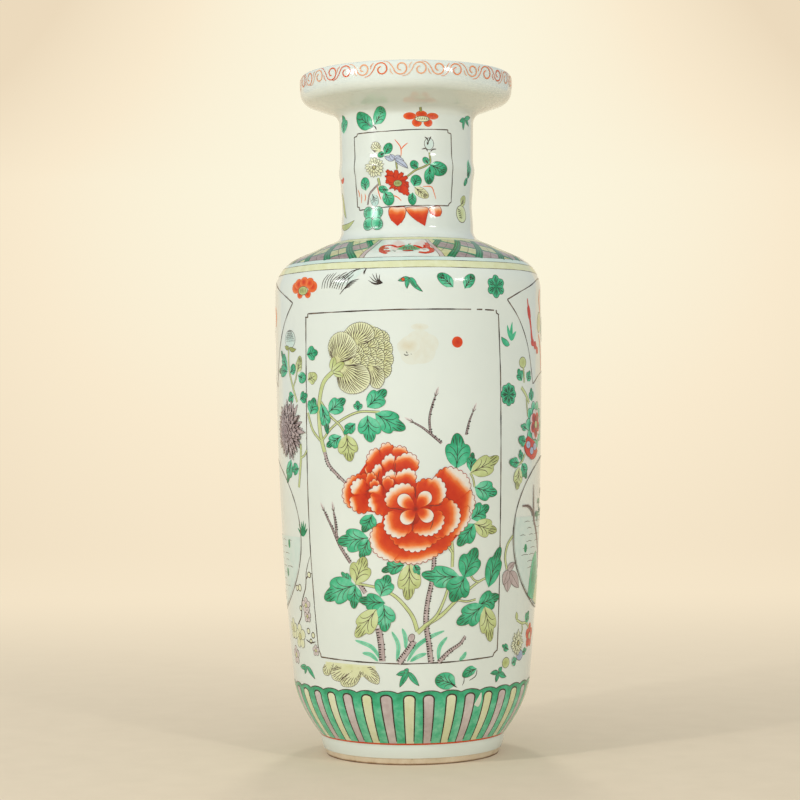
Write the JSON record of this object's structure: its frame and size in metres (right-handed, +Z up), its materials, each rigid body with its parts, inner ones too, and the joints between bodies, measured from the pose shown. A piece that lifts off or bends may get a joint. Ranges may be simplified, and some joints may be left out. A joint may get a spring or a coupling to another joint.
{
  "type": "rouleau vase",
  "caption": "Tall cylindrical porcelain vase with a sloping shoulder, straight neck and dished mouth on a recessed foot, painted with flower panels and borders in raised enamels.",
  "frame": {"origin": "centre of the foot rim, on the surface the vase stands on", "axes": "+Z up along the axis of turning; the front flower panel faces -Y"},
  "size_m": [0.1772, 0.178, 0.45],
  "materials": {
    "porcelain_clay": "matt",
    "slip": "matt",
    "glaze": "gloss",
    "green_enamel": "gloss",
    "yellow_enamel": "gloss",
    "aubergine_enamel": "gloss",
    "pale_blue_enamel": "gloss",
    "iron_red": "satin",
    "brown_line": "satin"
  },
  "bodies": {
    "root": {"foot_ring": "porcelain_clay", "base_disc": "porcelain_clay", "lower_body": "porcelain_clay", "upper_body": "porcelain_clay", "shoulder": "porcelain_clay", "neck": "porcelain_clay", "mouth": "porcelain_clay", "foot_slip": "slip", "base_slip": "slip", "body_slip": "slip", "shoulder_slip": "slip", "neck_slip": "slip", "mouth_slip": "slip", "glaze_coat": "glaze", "base_glaze": "glaze", "foot_line": "iron_red", "lappet_ground": "green_enamel", "lappet_yellow": "yellow_enamel", "lappet_aubergine": "aubergine_enamel", "shoulder_border": "yellow_enamel", "shoulder_pale_line": "pale_blue_enamel", "neck_border": "yellow_enamel", "trellis_bars": "green_enamel", "trellis_yellow": "yellow_enamel", "trellis_aubergine": "aubergine_enamel", "body_panel_frames": "brown_line", "neck_panel_frames": "brown_line"}
  },
  "joints": []
}
